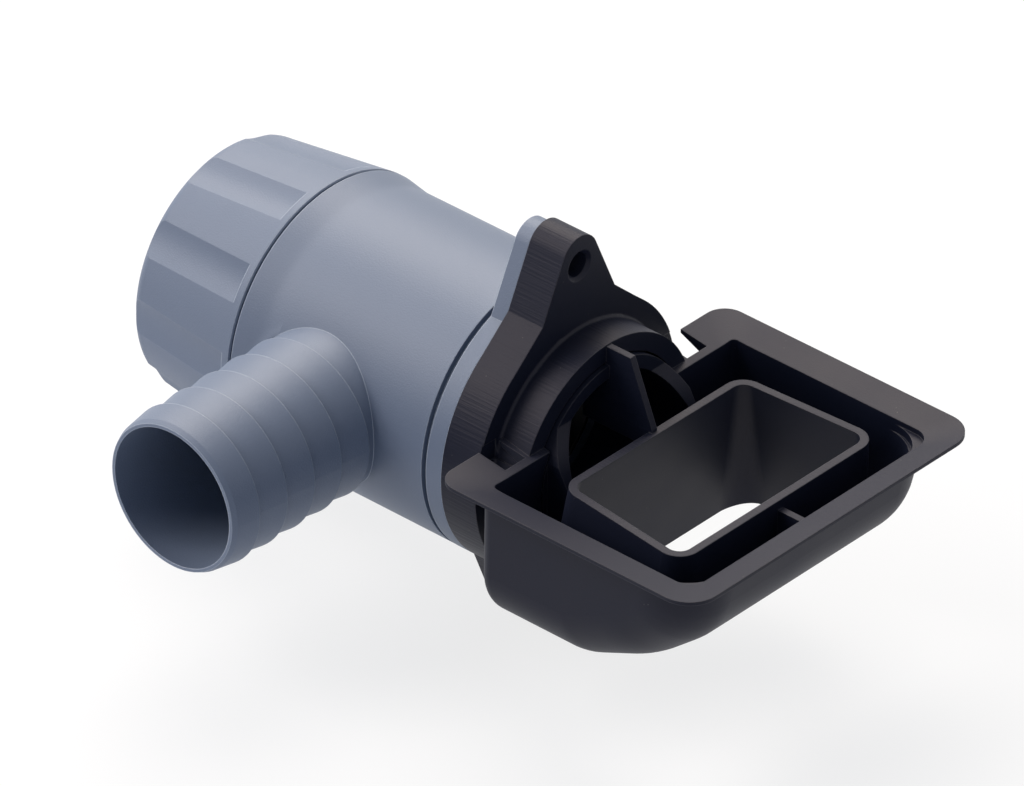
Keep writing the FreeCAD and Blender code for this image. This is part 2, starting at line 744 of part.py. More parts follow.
flange_ears = []
for name, tip_height, direction in (("top", size("flange_ear_height"), 1),
                                    ("low", size("lower_screw_depth"), -1)):
    ear_sketch = new_sketch(housing, "flange_ear_" + name, "YZ_Plane", flange_back)
    ear(ear_sketch, size("flange_ear_root_width"), size("ear_root_height"), tip_height,
        size("flange_ear_tip_radius"), upward=direction)
    flange_ears.append(pad(housing, "flange_ear_pad_" + name, ear_sketch,
                           size("flange_thickness")))
doc.recompute()
volume = flange_ears[-1].Shape.Volume

bore_profile = new_sketch(housing, "bore_profile", "XZ_Plane")
outline(bore_profile, [
    (collar_end - 1, as_size(0)),
    (flange_face + 1, as_size(0)),
    (flange_face + 1, size("throat_radius")),
    (flange_back, size("throat_radius")),
    (flange_back, size("bore_radius")),
    (collar_end - 1, size("bore_radius")),
])
bore = turned(housing, "Groove", "bore", bore_profile, "H_Axis")
volume = cut_volume(volume, bore)
tail_hole = new_sketch(housing, "tail_hole", "XZ_Plane", size("tail_reach"))
circle(tail_hole, tail_axis, 0, size("tail_bore_radius"))
tail_bore = pad(housing, "tail_bore", tail_hole, size("tail_reach"), kind="Pocket")
volume = cut_volume(volume, tail_bore)
flange_holes = new_sketch(housing, "flange_holes", "YZ_Plane", flange_face)
circle(flange_holes, 0, size("screw_height"), size("screw_hole_radius"))
circle(flange_holes, 0, -size("lower_screw_depth"), size("screw_hole_radius"))
flange_holes_cut = pad(housing, "flange_holes_cut", flange_holes, size("flange_thickness"),
                       kind="Pocket")
volume = cut_volume(volume, flange_holes_cut)


# Control knob: a fluted cap that snaps over the collar's bead.
knob = doc.addObject("PartDesign::Body", "control_knob")
knob.Label = "control_knob"
running = size("running_gap")
knob_end_radius = size("knob_end_radius")
turn_in = knob_end + knob_end_radius
cone_radius = size("seam_radius") - (knob_rim - turn_in) * size("knob_slope")
knob_inner = size("collar_radius") + running
groove_radius = size("bead_radius") + running
knob_profile = new_sketch(knob, "knob_profile", "XZ_Plane")
outline(knob_profile, [
    (knob_rim, size("seam_radius") - break_edge),
    (knob_rim - break_edge, size("seam_radius")),
    (turn_in, cone_radius, knob_end_radius, 1),
    (knob_end, cone_radius - knob_end_radius),
    (knob_end, as_size(0)),
    (drum_back, as_size(0)),
    (drum_back, size("knob_boss_radius")),
    (knob_floor, size("knob_boss_radius")),
    (knob_floor, size("knob_cavity_radius")),
    (collar_end - running, knob_inner),
    (collar_end - running, groove_radius),
    (collar_end + size("bead_length") + running, groove_radius),
    (collar_end + size("bead_length") + running, knob_inner),
    (knob_rim, knob_inner),
])
knob_solid = turned(knob, "Revolution", "knob_solid", knob_profile, "H_Axis")
doc.recompute()

# A flute is a tilted round groove that follows the cone; the rest are turned copies of it.
flute_front = knob_rim - size("flute_start")
flute_back = knob_end - 1
front_axis = (size("seam_radius") - size("flute_start") * size("knob_slope")
              - size("flute_depth") + size("flute_radius"))
back_axis = front_axis - (flute_front - flute_back) * size("knob_slope")
flute_in = new_sketch(knob, "flute_in", "YZ_Plane", flute_front)
circle(flute_in, front_axis, 0, size("flute_radius"))
flute_out = new_sketch(knob, "flute_out", "YZ_Plane", flute_back)
circle(flute_out, back_axis, 0, size("flute_radius"))
flute = loft(knob, "SubtractiveLoft", "flute", flute_in, flute_out)
volume = cut_volume(knob_solid.Shape.Volume, flute)
flutes = knob.newObject("PartDesign::PolarPattern", "flutes")
flutes.Originals = [flute]
flutes.Axis = (plane(knob, "X_Axis"), [""])
flutes.Angle = 360
bind(flutes, "Occurrences", size("flute_count"))
knob.Tip = flutes
volume = cut_volume(volume, flutes)


def hexagon(made, flats):
    corner = flats * 0.57735
    outline(made, [
        (as_size(0), corner), (-flats * 0.5, corner * 0.5), (-flats * 0.5, -corner * 0.5),
        (as_size(0), -corner), (flats * 0.5, -corner * 0.5), (flats * 0.5, corner * 0.5),
    ])


socket_profile = new_sketch(knob, "socket_profile", "YZ_Plane", drum_back)
hexagon(socket_profile, size("drive_flats") + size("drive_gap") * 2)
socket = pad(knob, "socket", socket_profile, size("drive_length") + running, kind="Pocket")
volume = cut_volume(volume, socket)


# Valve drum: an open-ended sleeve that the knob turns, with one port towards the hose tail.
drum = doc.addObject("PartDesign::Body", "valve_drum")
drum.Label = "valve_drum"
cord = size("seal_cord_radius")
seal_front = drum_front - size("seal_inset")
seal_rear = drum_back + size("seal_inset")
seal_middle = size("bore_radius") - size("seal_gap") - cord
seal_floor = seal_middle - cord - size("seal_gap") * 0.5
seal_half = cord + size("seal_gap")
drum_profile = new_sketch(drum, "drum_profile", "XZ_Plane")
outline(drum_profile, [
    (drum_back, as_size(0)),
    (drum_back + size("drum_disc"), as_size(0)),
    (drum_back + size("drum_disc"), size("drum_bore_radius")),
    (drum_front, size("drum_bore_radius")),
    (drum_front, drum_radius),
    (seal_front + seal_half, drum_radius),
    (seal_front + seal_half, seal_floor),
    (seal_front - seal_half, seal_floor),
    (seal_front - seal_half, drum_radius),
    (seal_rear + seal_half, drum_radius),
    (seal_rear + seal_half, seal_floor),
    (seal_rear - seal_half, seal_floor),
    (seal_rear - seal_half, drum_radius),
    (drum_back, drum_radius),
])
drum_solid = turned(drum, "Revolution", "drum_solid", drum_profile, "H_Axis")
doc.recompute()
port_profile = new_sketch(drum, "port_profile", "XZ_Plane", drum_radius + 1)
circle(port_profile, tail_axis, 0, size("port_radius"))
port = pad(drum, "port", port_profile, drum_radius + 1, kind="Pocket")
volume = cut_volume(drum_solid.Shape.Volume, port)
drive_profile = new_sketch(drum, "drive_profile", "YZ_Plane", drum_back)
hexagon(drive_profile, size("drive_flats"))
drive = pad(drum, "drive", drive_profile, size("drive_length"), reverse=True)
doc.recompute()
if not drive.Shape.Volume > volume + 10:
    raise RuntimeError("the drive adds nothing")


# Drum seals: O-rings in the drum's two grooves.
seals = []
for label, place in (("drum_seal_front", seal_front), ("drum_seal_rear", seal_rear)):
    ring = doc.addObject("Part::Torus", label)
    ring.Label = label
    bind(ring, "Radius1", seal_middle)
    bind(ring, "Radius2", cord)
    ring.Placement = FreeCAD.Placement(
        FreeCAD.Vector(place.value, 0, 0), FreeCAD.Rotation(FreeCAD.Vector(0, 1, 0), 90))
    ring.setExpression("Placement.Base.x", place.formula)
    seals.append(ring)
doc.recompute()

# Every object must be sound before anything is written.
for thing in doc.Objects:
    if "Invalid" in thing.State or "Error" in thing.State:
        raise RuntimeError("%s is %s" % (thing.Name, thing.State))
pieces = [collector, housing, knob, drum] + seals
for piece in pieces:
    shape = piece.Shape
    if shape.isNull() or not shape.isValid() or len(shape.Solids) != 1:
        raise RuntimeError("%s is not one sound solid" % piece.Label)

os.makedirs("parts", exist_ok=True)
for piece in pieces:
    piece.Shape.exportStep(os.path.join("parts", piece.Label + ".step"))
    box = piece.Shape.optimalBoundingBox(False, False)
    print("%-16s volume %9.1f  x %7.2f %7.2f  y %7.2f %7.2f  z %7.2f %7.2f" % (
        piece.Label, piece.Shape.Volume, box.XMin, box.XMax, box.YMin, box.YMax, box.ZMin, box.ZMax))
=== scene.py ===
# %% [markdown]
# # Rainwater diverter
# This lesson dresses a rainwater diverter: a turning shut-off knob and a hose tail in blue-grey
# moulded plastic, and a soft black collector that stands inside a downpipe. The shapes come from
# the fixed frame, because they have to keep their real sizes. What is made here is the finish of
# each moulding, the table that it lies on, the light and the camera.

# %% Tools
import json
import math

import bpy
import numpy as np
from mathutils import Matrix, Vector


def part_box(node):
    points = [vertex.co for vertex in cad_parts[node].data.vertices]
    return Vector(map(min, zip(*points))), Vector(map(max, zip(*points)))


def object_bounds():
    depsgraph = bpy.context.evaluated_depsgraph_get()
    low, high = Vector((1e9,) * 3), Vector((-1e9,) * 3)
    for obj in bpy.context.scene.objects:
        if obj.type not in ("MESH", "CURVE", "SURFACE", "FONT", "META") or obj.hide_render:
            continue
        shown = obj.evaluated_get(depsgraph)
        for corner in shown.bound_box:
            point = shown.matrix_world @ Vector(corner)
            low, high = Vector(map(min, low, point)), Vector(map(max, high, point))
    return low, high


MM = 0.001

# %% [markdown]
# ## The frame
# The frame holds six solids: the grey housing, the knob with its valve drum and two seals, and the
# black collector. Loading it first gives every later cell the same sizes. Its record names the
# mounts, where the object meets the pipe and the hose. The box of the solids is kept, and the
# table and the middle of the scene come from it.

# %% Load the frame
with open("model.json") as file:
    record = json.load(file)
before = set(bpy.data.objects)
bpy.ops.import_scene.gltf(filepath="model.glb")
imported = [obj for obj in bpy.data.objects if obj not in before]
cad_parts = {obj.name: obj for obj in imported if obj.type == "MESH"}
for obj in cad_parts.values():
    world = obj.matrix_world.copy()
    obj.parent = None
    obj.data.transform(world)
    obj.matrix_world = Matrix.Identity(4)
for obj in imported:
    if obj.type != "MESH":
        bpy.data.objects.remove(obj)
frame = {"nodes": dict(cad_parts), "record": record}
solid_low, solid_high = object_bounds()
mounts = {mount["name"]: mount for mount in frame["record"]["mounts"]}
print("frame:", sorted(frame["nodes"]))
print("mounts:", sorted(mounts))
print("size in mm:", [round((b - a) / MM, 1) for a, b in zip(solid_low, solid_high)])

# %% [markdown]
# ## Colours
# A colour is easiest to judge as the hex value that a picture shows. The shaders work with linear
# light, so one function turns the first into the second.


# %% Colour helper
def linear(hex_value):
    """A hex colour as linear red, green, blue and alpha: each channel undoes the sRGB curve."""
    channels = [int(hex_value[i:i + 2], 16) / 255 for i in (1, 3, 5)]
    return tuple(c / 12.92 if c <= 0.04045 else ((c + 0.055) / 1.055) ** 2.4
                 for c in channels) + (1.0,)


WHITE = linear("#FFFFFF")
print("white in linear light:", WHITE)

# %% [markdown]
# ## Building a node tree
# Every finish below is a small tree of nodes. Writing each node by hand takes three or four lines,
# so one function adds a node, sets its properties and fills its inputs, from a number, a colour or
# another node's output. A Mix node has a pair of inputs and an output for each type of value, all
# under the same names, so their places are kept here as numbers.

# %% Node helper
A_COLOUR, B_COLOUR, MIXED_COLOUR = 6, 7, 2
A_VECTOR, B_VECTOR, MIXED_VECTOR = 4, 5, 1


def add(tree, kind, settings=None, inputs=None):
    """Add one node: settings are its properties, inputs give a socket's name or place a value."""
    made = tree.nodes.new(kind)
    for name, value in (settings or {}).items():
        setattr(made, name, value)
    for name, value in (inputs or {}).items():
        if isinstance(value, bpy.types.NodeSocket):
            tree.links.new(value, made.inputs[name])
        else:
            made.inputs[name].default_value = value
    return made


def blank(name):
    """A new material with an empty tree and its output node."""
    made = bpy.data.materials.new(name)
    made.use_nodes = True
    made.node_tree.nodes.clear()
    return made, made.node_tree, add(made.node_tree, "ShaderNodeOutputMaterial")


def per_metre(grain):
    """The scale of a pattern on object coordinates: how many grains of this size fill a metre."""
    return 1 / grain


def from_axis(tree, place):
    """The distance of a point from the X axis: its length once its x is set to nought."""
    spoke = add(tree, "ShaderNodeVectorMath", {"operation": "MULTIPLY"}, {
        0: place, 1: (0.0, 1.0, 1.0)})
    return add(tree, "ShaderNodeVectorMath", {"operation": "LENGTH"}, {0: spoke.outputs[0]})


# %% [markdown]
# ## Soft edges
# A moulded edge is never sharp: the steel that shapes it has a radius of a few tenths of a
# millimetre, and that radius catches a thin line of light. The solids have sharp edges there. The
# Bevel node rounds only the shading, so the size stays exact, and the bump of each finish is laid
# over it. A paler colour is also painted along the edges, as a painted highlight for that line of
# light. The rounded shading turns away from the flat face only there, so the angle between the two
# says where the painted highlight fades in.

# %% Soft edges and painted edge highlights
EDGE_RADIUS = 0.3 * MM
SEAL_EDGE_RADIUS = 0.1 * MM
EDGE_SAMPLES = 6
# Painted edge highlight: it begins and is full at these cosines between the two normals.
HIGHLIGHT_STARTS = 0.98
HIGHLIGHT_IS_FULL = 0.85
print("edge radius:", EDGE_RADIUS / MM, "mm")


# Painted highlight: a paler colour along every edge stands for the line of light that it catches.
def painted_edge_highlight(tree, edge, colour, pale, share):
    """Painted edge highlight: the colour, mixed with a pale one by up to share, where the soft
    edge turns from the face.

    The turn is the cosine between the two normals. The painted highlight begins where the cosine
    falls to the first limit above and is full at the second.
    """
    face = add(tree, "ShaderNodeNewGeometry")
    turn = add(tree, "ShaderNodeVectorMath", {"operation": "DOT_PRODUCT"}, {
        0: edge.outputs["Normal"], 1: face.outputs["Normal"]})
    fade = add(tree, "ShaderNodeMapRange", inputs={
        "Value": turn.outputs["Value"], "From Min": HIGHLIGHT_STARTS, "From Max": HIGHLIGHT_IS_FULL,
        "To Min": 0.0, "To Max": share})
    return add(tree, "ShaderNodeMix", {"data_type": "RGBA"}, {
        "Factor": fade.outputs["Result"], A_COLOUR: colour, B_COLOUR: linear(pale)})


# %% [markdown]
# ## Blue-grey polypropylene
# The housing and the knob are injection moulded in pigmented polypropylene. The steel mould was
# spark eroded, which leaves a fine even grain, and that grain spreads each highlight into a soft
# satin glow. The real grain is about 0.1 mm and would vanish at this distance, so it is drawn at
# 0.35 mm. Slow changes of shade over a few centimetres stand for the flow of the melt, and every
# edge, the crests of the hose tail's barbs among them, has a painted highlight in a pale colour.
# SATIN, like DULL, SMOOTH, GREASED and MATT below, gives the lowest and the highest roughness of a
# surface.
#
# Behind the knob's seam the body narrows by about a millimetre. The solid has a short cone there,
# and a wider soft edge blends it into the body. The knob's box ends at the seam, and the housing's
# box reaches as far as the body on the side away from the hose tail. Both places come from there.

# %% Shoulder behind the seam
SHOULDER_BLEND = 3.5 * MM
SHOULDER_REACH = 3.6 * MM
SEAM_TO_SHOULDER = 6.3 * MM
BODY_MARGIN = 0.3 * MM
SHOULDER_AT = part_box("control_knob")[1].x + SEAM_TO_SHOULDER
BODY_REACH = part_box("housing")[1].y + BODY_MARGIN
print("shoulder in mm:", round(SHOULDER_AT / MM, 1), "and", round(BODY_REACH / MM, 1))


def on_shoulder(tree, place):
    """1 within SHOULDER_REACH of SHOULDER_AT along the axis and BODY_REACH from it, and else 0."""
    axis = add(tree, "ShaderNodeSeparateXYZ", inputs={"Vector": place})
    along = add(tree, "ShaderNodeMath", {"operation": "COMPARE"}, {
        0: axis.outputs["X"], 1: SHOULDER_AT, 2: SHOULDER_REACH})
    on_body = add(tree, "ShaderNodeMath", {"operation": "LESS_THAN"}, {
        0: from_axis(tree, place).outputs["Value"], 1: BODY_REACH})
    return add(tree, "ShaderNodeMath", {"operation": "MULTIPLY"}, {
        0: along.outputs[0], 1: on_body.outputs[0]})


# %% Blue-grey polypropylene
BLUE_GREY = "#6C778A"
BLUE_GREY_DEEP = "#657083"
# Painted highlight: a pale grey laid along every edge, mixed in fully by the share below.
GREY_EDGE_HIGHLIGHT = "#C0C9D6"
GRAIN = 0.35 * MM
GRAIN_DEPTH = 0.06 * MM
GRAIN_STRENGTH = 0.9
FLOW = 30.0 * MM
SATIN = (0.44, 0.54)
GREY_HIGHLIGHT_SHARE = 1.0


def moulded_polypropylene():
    """Slow shades and a painted edge highlight under a fine grain that also varies the gloss."""
    made, tree, output = blank("blue_grey_polypropylene")
    place = add(tree, "ShaderNodeTexCoord").outputs["Object"]
    flow = add(tree, "ShaderNodeTexNoise", inputs={
        "Vector": place, "Scale": per_metre(FLOW), "Detail": 2.0})
    shade = add(tree, "ShaderNodeMix", {"data_type": "RGBA"}, {
        "Factor": flow.outputs["Fac"],
        A_COLOUR: linear(BLUE_GREY_DEEP), B_COLOUR: linear(BLUE_GREY)})
    grain = add(tree, "ShaderNodeTexNoise", inputs={
        "Vector": place, "Scale": per_metre(GRAIN), "Detail": 3.0, "Roughness": 0.6})
    gloss = add(tree, "ShaderNodeMapRange", inputs={
        "Value": grain.outputs["Fac"], "To Min": SATIN[0], "To Max": SATIN[1]})
    edge = add(tree, "ShaderNodeBevel", {"samples": EDGE_SAMPLES}, {"Radius": EDGE_RADIUS})
    # Painted highlight along every edge.
    colour = painted_edge_highlight(tree, edge, shade.outputs[MIXED_COLOUR], GREY_EDGE_HIGHLIGHT, GREY_HIGHLIGHT_SHARE)
    blend = add(tree, "ShaderNodeBevel", {"samples": EDGE_SAMPLES}, {"Radius": SHOULDER_BLEND})
    smooth = add(tree, "ShaderNodeMix", {"data_type": "VECTOR"}, {
        "Factor": on_shoulder(tree, place).outputs[0],
        A_VECTOR: edge.outputs["Normal"], B_VECTOR: blend.outputs["Normal"]})
    relief = add(tree, "ShaderNodeBump", inputs={
        "Strength": GRAIN_STRENGTH, "Distance": GRAIN_DEPTH, "Height": grain.outputs["Fac"],
        "Normal": smooth.outputs[MIXED_VECTOR]})
    skin = add(tree, "ShaderNodeBsdfPrincipled", inputs={
        "Base Color": colour.outputs[MIXED_COLOUR], "Roughness": gloss.outputs["Result"],
        "IOR": 1.49, "Normal": relief.outputs["Normal"]})
    tree.links.new(skin.outputs[0], output.inputs["Surface"])
    return made


blue_grey_polypropylene = moulded_polypropylene()
print("made", blue_grey_polypropylene.name)

# %% [markdown]
# ## Black elastomer
# The plate, the neck and the tray are one moulding in thermoplastic elastomer, soft enough to be
# folded through the hole in the pipe. It is a blue-black with a warm sheen. The plate and the neck
# were cut in the mould with a tool that left fine lines along the axis, about 0.5 mm apart, which
# show on the rounds and not on the faces that are seen end-on. Noise that is stretched along the
# axis makes such lines. The tray has an even fine grain instead.

# %% Tool lines
TOOL_LINE = 0.5 * MM
TOOL_LINE_STRETCH = 0.03
TOOL_LINE_STRENGTH = 0.4
PLATE_MARGIN = 0.1 * MM
NECK_MARGIN = 0.4 * MM
PLATE_END = mounts["pipe_face"]["pos_m"][0] + PLATE_MARGIN
NECK_REACH = mounts["pipe_neck"]["dims"]["r_mm"] * MM + NECK_MARGIN


def tool_lines(tree, place):
    """The height of the lines: noise with grains 1 / TOOL_LINE_STRETCH times as long as wide."""
    along = add(tree, "ShaderNodeMapping", inputs={
        "Vector": place, "Scale": (TOOL_LINE_STRETCH, 1.0, 1.0)})
    return add(tree, "ShaderNodeTexNoise", inputs={
        "Vector": along.outputs["Vector"], "Scale": per_metre(TOOL_LINE), "Detail": 1.0})


def tool_line_strength(tree, place):
    """TOOL_LINE_STRENGTH on the rounds of the plate and the neck, and nought elsewhere.

    The tray lies past the plate's end and further from the axis than the neck reaches. A face
    that is seen end-on has an x of 1 or -1 in its normal.
    """
    axis = add(tree, "ShaderNodeSeparateXYZ", inputs={"Vector": place})
    past_neck = add(tree, "ShaderNodeMath", {"operation": "GREATER_THAN"}, {
        0: from_axis(tree, place).outputs["Value"], 1: NECK_REACH})
    past_plate = add(tree, "ShaderNodeMath", {"operation": "GREATER_THAN"}, {
        0: axis.outputs["X"], 1: PLATE_END})
    on_tray = add(tree, "ShaderNodeMath", {"operation": "MULTIPLY"}, {
        0: past_neck.outputs[0], 1: past_plate.outputs[0]})
    facing = add(tree, "ShaderNodeSeparateXYZ", inputs={
        "Vector": add(tree, "ShaderNodeTexCoord").outputs["Normal"]})
    end_on = add(tree, "ShaderNodeMath", {"operation": "ABSOLUTE"}, {0: facing.outputs["X"]})
    plain = add(tree, "ShaderNodeMath", {"operation": "MAXIMUM"}, {
        0: on_tray.outputs[0], 1: end_on.outputs[0]})
    return add(tree, "ShaderNodeMapRange", inputs={
        "Value": plain.outputs[0], "To Min": TOOL_LINE_STRENGTH, "To Max": 0.0})


# %% [markdown]
# The soft surface holds dust. A cell pattern gives each cell a centre and a random colour, so a
# small round speck is drawn at the centre of the few cells whose random colour is bright.

# %% Dust
DUST = "#6B6762"
SPECK_CELL = 0.9 * MM
SPECK_EDGE = (0.10, 0.14)
SPECK_CHANCE = (0.88, 0.91)
SPECK_COVER = 0.5


def dusted(tree, place, colour):
    """The colour with specks, in the few cells whose random colour is above SPECK_CHANCE.

    From its cell's centre, a speck is full up to the first share of a cell in SPECK_EDGE and has
    faded out at the second.
    """
    specks = add(tree, "ShaderNodeTexVoronoi", inputs={
        "Vector": place, "Scale": per_metre(SPECK_CELL)})
    on_speck = add(tree, "ShaderNodeMapRange", inputs={
        "Value": specks.outputs["Distance"], "From Min": SPECK_EDGE[0], "From Max": SPECK_EDGE[1],
        "To Min": 1.0, "To Max": 0.0})
    few = add(tree, "ShaderNodeMapRange", inputs={
        "Value": specks.outputs["Color"], "From Min": SPECK_CHANCE[0],
        "From Max": SPECK_CHANCE[1], "To Max": SPECK_COVER})
    dusty = add(tree, "ShaderNodeMath", {"operation": "MULTIPLY"}, {
        0: on_speck.outputs["Result"], 1: few.outputs["Result"]})
    return add(tree, "ShaderNodeMix", {"data_type": "RGBA"}, {
        "Factor": dusty.outputs[0], A_COLOUR: colour, B_COLOUR: linear(DUST)})


# %% Black elastomer
SOFT_BLACK = "#0F1424"
SOFT_BLACK_WORN = "#151A2A"
# Painted highlight: a grey laid along every edge of the black, by up to the share below.
BLACK_EDGE_HIGHLIGHT = "#4A4A50"
WARM_SHEEN = "#FFF3EC"
WEAR = 18.0 * MM
DULL = (0.44, 0.56)
BLACK_HIGHLIGHT_SHARE = 0.7
TOOL_LINE_DEPTH = 0.2 * MM
TRAY_GRAIN = 0.3 * MM
TRAY_GRAIN_DEPTH = 0.04 * MM
TRAY_GRAIN_STRENGTH = 0.5


def moulded_elastomer():
    """Worn and dusted black with a painted edge highlight, tool lines on the rounds and a grain
    over all.
    """
    made, tree, output = blank("black_thermoplastic_elastomer")
    place = add(tree, "ShaderNodeTexCoord").outputs["Object"]
    wear = add(tree, "ShaderNodeTexNoise", inputs={
        "Vector": place, "Scale": per_metre(WEAR), "Detail": 4.0})
    shade = add(tree, "ShaderNodeMix", {"data_type": "RGBA"}, {
        "Factor": wear.outputs["Fac"],
        A_COLOUR: linear(SOFT_BLACK), B_COLOUR: linear(SOFT_BLACK_WORN)})
    dusty = dusted(tree, place, shade.outputs[MIXED_COLOUR])
    edge = add(tree, "ShaderNodeBevel", {"samples": EDGE_SAMPLES}, {"Radius": EDGE_RADIUS})
    # Painted highlight along every edge.
    colour = painted_edge_highlight(tree, edge, dusty.outputs[MIXED_COLOUR], BLACK_EDGE_HIGHLIGHT, BLACK_HIGHLIGHT_SHARE)
    gloss = add(tree, "ShaderNodeMapRange", inputs={
        "Value": wear.outputs["Fac"], "To Min": DULL[0], "To Max": DULL[1]})
    scored = add(tree, "ShaderNodeBump", inputs={
        "Strength": tool_line_strength(tree, place).outputs["Result"],
        "Distance": TOOL_LINE_DEPTH, "Height": tool_lines(tree, place).outputs["Fac"],
        "Normal": edge.outputs["Normal"]})
    grain = add(tree, "ShaderNodeTexNoise", inputs={
        "Vector": place, "Scale": per_metre(TRAY_GRAIN), "Detail": 2.0})
    relief = add(tree, "ShaderNodeBump", inputs={
        "Strength": TRAY_GRAIN_STRENGTH, "Distance": TRAY_GRAIN_DEPTH,
        "Height": grain.outputs["Fac"], "Normal": scored.outputs["Normal"]})
    skin = add(tree, "ShaderNodeBsdfPrincipled", inputs={
        "Base Color": colour.outputs[MIXED_COLOUR], "Roughness": gloss.outputs["Result"],
        "IOR": 1.5, "Specular IOR Level": 0.21, "Specular Tint": linear(WARM_SHEEN),
        "Normal": relief.outputs["Normal"]})
    tree.links.new(skin.outputs[0], output.inputs["Surface"])
    return made


black_elastomer = moulded_elastomer()
print("made", black_elastomer.name)

# %% [markdown]
# ## Inner parts
# The valve drum is turned by the knob and shows only through the neck and the hose tail. Such a
# drum is usually moulded in acetal, smooth and a little glossier than the housing, with faint
# wiping marks from turning in its bore. Its two seals are nitrile rubber rings with a dull greased
# skin. Both are one plain colour, and only their gloss varies.

# %% Acetal and nitrile
DRUM_BLACK = "#18191B"
WIPING_MARK = 6.0 * MM
SMOOTH = (0.28, 0.40)
SEAL_BLACK = "#131314"
GREASE_SMEAR = 2.0 * MM
GREASED = (0.30, 0.55)


def moulded_acetal():
    """One black whose gloss varies slowly."""
    made, tree, output = blank("black_acetal")
    place = add(tree, "ShaderNodeTexCoord").outputs["Object"]
    wipe = add(tree, "ShaderNodeTexNoise", inputs={
        "Vector": place, "Scale": per_metre(WIPING_MARK), "Detail": 3.0})
    gloss = add(tree, "ShaderNodeMapRange", inputs={
        "Value": wipe.outputs["Fac"], "To Min": SMOOTH[0], "To Max": SMOOTH[1]})
    edge = add(tree, "ShaderNodeBevel", {"samples": EDGE_SAMPLES}, {"Radius": EDGE_RADIUS})
    skin = add(tree, "ShaderNodeBsdfPrincipled", inputs={
        "Base Color": linear(DRUM_BLACK), "Roughness": gloss.outputs["Result"], "IOR": 1.48,
        "Normal": edge.outputs["Normal"]})
    tree.links.new(skin.outputs[0], output.inputs["Surface"])
    return made


def greased_nitrile():
    """One black whose gloss varies in smears of grease."""
    made, tree, output = blank("greased_nitrile")
    place = add(tree, "ShaderNodeTexCoord").outputs["Object"]
    smear = add(tree, "ShaderNodeTexNoise", inputs={
        "Vector": place, "Scale": per_metre(GREASE_SMEAR), "Detail": 2.0})
    gloss = add(tree, "ShaderNodeMapRange", inputs={
        "Value": smear.outputs["Fac"], "To Min": GREASED[0], "To Max": GREASED[1]})
    edge = add(tree, "ShaderNodeBevel", {"samples": EDGE_SAMPLES}, {"Radius": SEAL_EDGE_RADIUS})
    skin = add(tree, "ShaderNodeBsdfPrincipled", inputs={
        "Base Color": linear(SEAL_BLACK), "Roughness": gloss.outputs["Result"], "IOR": 1.52,
        "Normal": edge.outputs["Normal"]})
    tree.links.new(skin.outputs[0], output.inputs["Surface"])
    return made


black_acetal = moulded_acetal()
nitrile = greased_nitrile()
print("made", black_acetal.name, "and", nitrile.name)

# %% [markdown]
# ## Dressing the solids
# Each solid already has its place and shape, so it only needs its finish. The housing and the knob
# share one finish, because they come from the same batch of plastic.

# %% Dress the solids
FINISHES = {
    "housing": blue_grey_polypropylene,
    "control_knob": blue_grey_polypropylene,
    "pipe_collector": black_elastomer,
    "valve_drum": black_acetal,
    "drum_seal_front": nitrile,
    "drum_seal_rear": nitrile,
}
for name, finish in FINISHES.items():
    piece = frame["nodes"][name]
    piece.data.materials.clear()
    piece.data.materials.append(finish)
    print(name, "->", finish.name)

# %% [markdown]
# ## The table
# The object lies on a wide round table, so that it can be looked at from every side with nothing
# in the way. As an array, each point of the table is a function of its ring and its place round
# it.

# %% Round table
TABLE_RADIUS = 6.0
TABLE_RINGS = 4
TABLE_STEPS = 96
TABLE_GAP = 0.1 * MM
SUBJECT = Vector(((solid_low[0] + solid_high[0]) / 2, (solid_low[1] + solid_high[1]) / 2, 0.0))


def round_table(height):
    """A flat disc in rings: point (ring, step) lies at radius * (cos, sin) of its angle."""
    radius = np.linspace(0.0, TABLE_RADIUS, TABLE_RINGS + 1)[1:]
    angle = np.arange(TABLE_STEPS) * 2 * math.pi / TABLE_STEPS
    r, a = np.meshgrid(radius, angle, indexing="ij")
    points = np.stack([SUBJECT.x + r * np.cos(a), SUBJECT.y + r * np.sin(a),
                       np.full(r.shape, height)], axis=-1).reshape(-1, 3)
    middle = len(points)
    points = np.vstack([points, [SUBJECT.x, SUBJECT.y, height]])
    step = np.arange(TABLE_STEPS)
    after = (step + 1) % TABLE_STEPS
    faces = [(middle, int(i), int(j)) for i, j in zip(step, after)]
    for ring in range(TABLE_RINGS - 1):
        low, high = ring * TABLE_STEPS, (ring + 1) * TABLE_STEPS
        faces += [(low + int(i), high + int(i), high + int(j), low + int(j))
                  for i, j in zip(step, after)]
    mesh = bpy.data.meshes.new("studio_table")
    mesh.from_pydata(points.tolist(), [], faces)
    return mesh


table = bpy.data.objects.new("studio_table", round_table(solid_low[2] - TABLE_GAP))
bpy.context.scene.collection.objects.link(table)
print("table points:", len(table.data.vertices))

# %% [markdown]
# The table is covered with matt white paper. What the picture sees of it, straight or in a gloss,
# is mixed with a white glow, by more and more away from the object, so that the paper runs into
# the white background without an edge while the object's shadow stays on it. All other rays find
# a plain, slightly cool paper, which throws a little of the light back up under the object.


# %% What the picture sees
def seen_by_picture(tree):
    """1 for a ray from the camera, off a gloss or through a clear body, and 0 for all others."""
    path = add(tree, "ShaderNodeLightPath")
    seen_or_mirrored = add(tree, "ShaderNodeMath", {"operation": "MAXIMUM"}, {
        0: path.outputs["Is Camera Ray"], 1: path.outputs["Is Glossy Ray"]})
    return add(tree, "ShaderNodeMath", {"operation": "MAXIMUM"}, {
        0: seen_or_mirrored.outputs[0], 1: path.outputs["Is Transmission Ray"]})


# %% Paper
PAPER_WHITE = "#F4F4F4"
PAPER_BOUNCE = "#D2DAE6"
PAPER_FIBRE = 1.5 * MM
MATT = (0.85, 0.95)
GLOW_NEAR = 0.79
GLOW_FROM = 0.15
GLOW_FULL = 0.8


